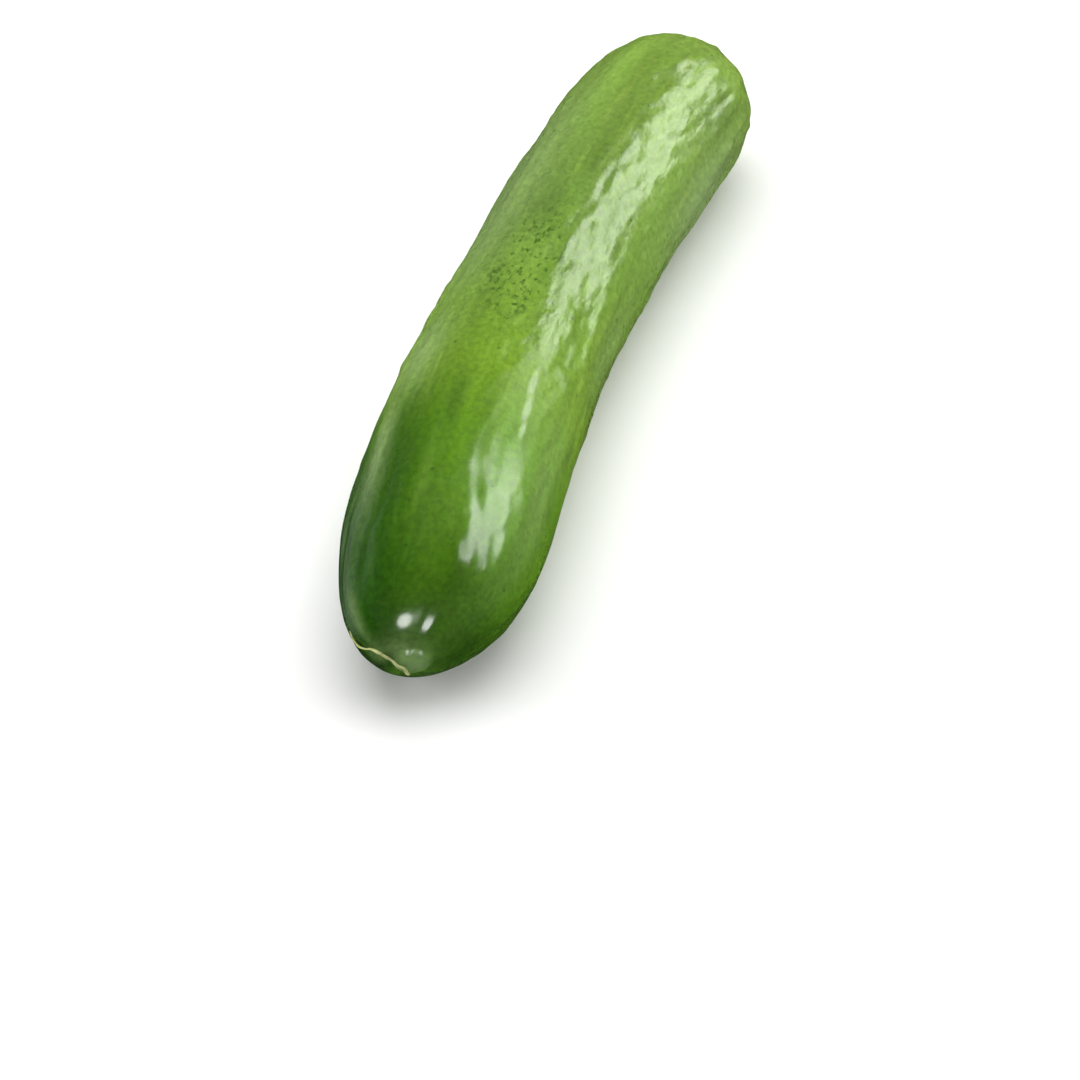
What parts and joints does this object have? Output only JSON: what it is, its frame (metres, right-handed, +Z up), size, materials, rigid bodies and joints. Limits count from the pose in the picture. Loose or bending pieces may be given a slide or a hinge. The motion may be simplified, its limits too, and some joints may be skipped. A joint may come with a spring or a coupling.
{
  "type": "cucumber",
  "caption": "Short, slightly bent, glossy green cucumber with low ribs and rounded ends, lying on its side, with a dried flower thread at one end.",
  "frame": {"origin": "under the middle of the whole object's box, on the surface that it lies on", "axes": "+X along the fruit from the blossom end to the stem end, +Y towards the outer side of its bend, +Z up"},
  "size_m": [0.1598, 0.04, 0.0358],
  "materials": {
    "skin": "glossy waxy green skin, paler and yellower towards the stem end, with low ribs and fine mottling",
    "dried_thread": "dry pale straw"
  },
  "bodies": {
    "root": {"cucumber": "skin", "flower_thread": "dried_thread"}
  },
  "joints": []
}
